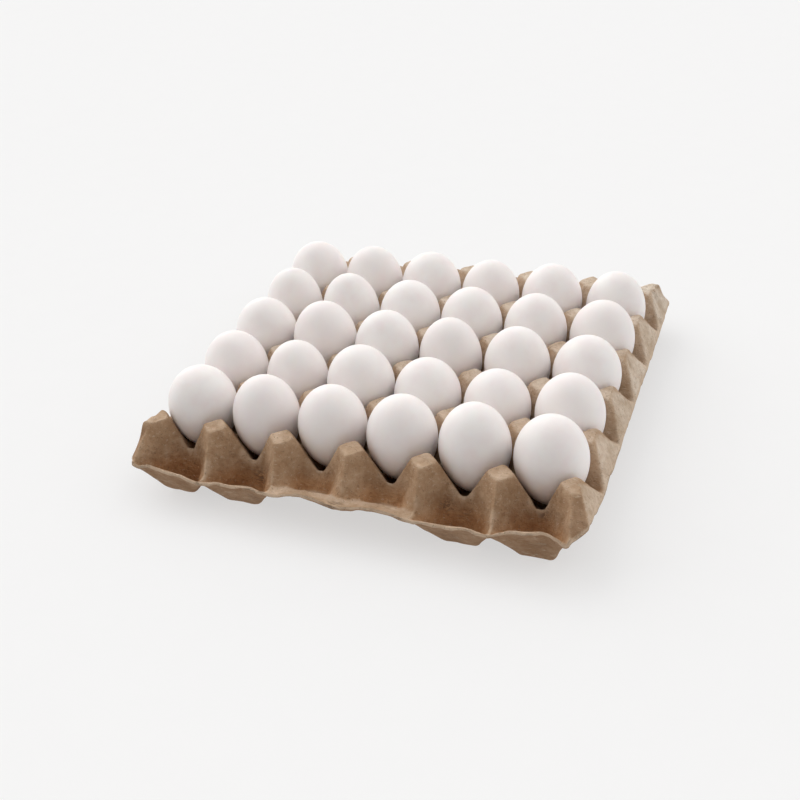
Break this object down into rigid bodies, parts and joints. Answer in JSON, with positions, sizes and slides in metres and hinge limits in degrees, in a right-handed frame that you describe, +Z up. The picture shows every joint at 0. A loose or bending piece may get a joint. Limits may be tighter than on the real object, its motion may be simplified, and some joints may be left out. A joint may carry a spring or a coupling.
{
  "type": "egg tray of moulded pulp filled with hen's eggs",
  "caption": "Open square tray of moulded paper pulp with hollow pyramid posts, scalloped front and back lip, and a white hen's egg standing blunt end up in each cup.",
  "frame": {"origin": "on the plane of the feet, which are the undersides of the cup floors, below the middle of the square tray", "axes": "+X to the right along a row of cups, +Y from the front lip to the back lip, +Z up; row 1 is at the front, column 1 at the left"},
  "size_m": [0.3, 0.3, 0.072],
  "materials": {
    "moulded_pulp": "matte recycled paper pulp, greyish tan, with short fibres, pits and a rough trimmed lip",
    "eggshell": "white hen's eggshell, silky matte with very fine pores"
  },
  "bodies": {
    "root": {"tray": "moulded_pulp", "egg_r1_c1": "eggshell", "egg_r1_c2": "eggshell", "egg_r1_c3": "eggshell", "egg_r1_c4": "eggshell", "egg_r1_c5": "eggshell", "egg_r1_c6": "eggshell", "egg_r2_c1": "eggshell", "egg_r2_c2": "eggshell", "egg_r2_c3": "eggshell", "egg_r2_c4": "eggshell", "egg_r2_c5": "eggshell", "egg_r2_c6": "eggshell", "egg_r3_c1": "eggshell", "egg_r3_c2": "eggshell", "egg_r3_c3": "eggshell", "egg_r3_c4": "eggshell", "egg_r3_c5": "eggshell", "egg_r3_c6": "eggshell", "egg_r4_c1": "eggshell", "egg_r4_c2": "eggshell", "egg_r4_c3": "eggshell", "egg_r4_c4": "eggshell", "egg_r4_c5": "eggshell", "egg_r4_c6": "eggshell", "egg_r5_c1": "eggshell", "egg_r5_c2": "eggshell", "egg_r5_c3": "eggshell", "egg_r5_c4": "eggshell", "egg_r5_c5": "eggshell", "egg_r5_c6": "eggshell"}
  },
  "joints": []
}
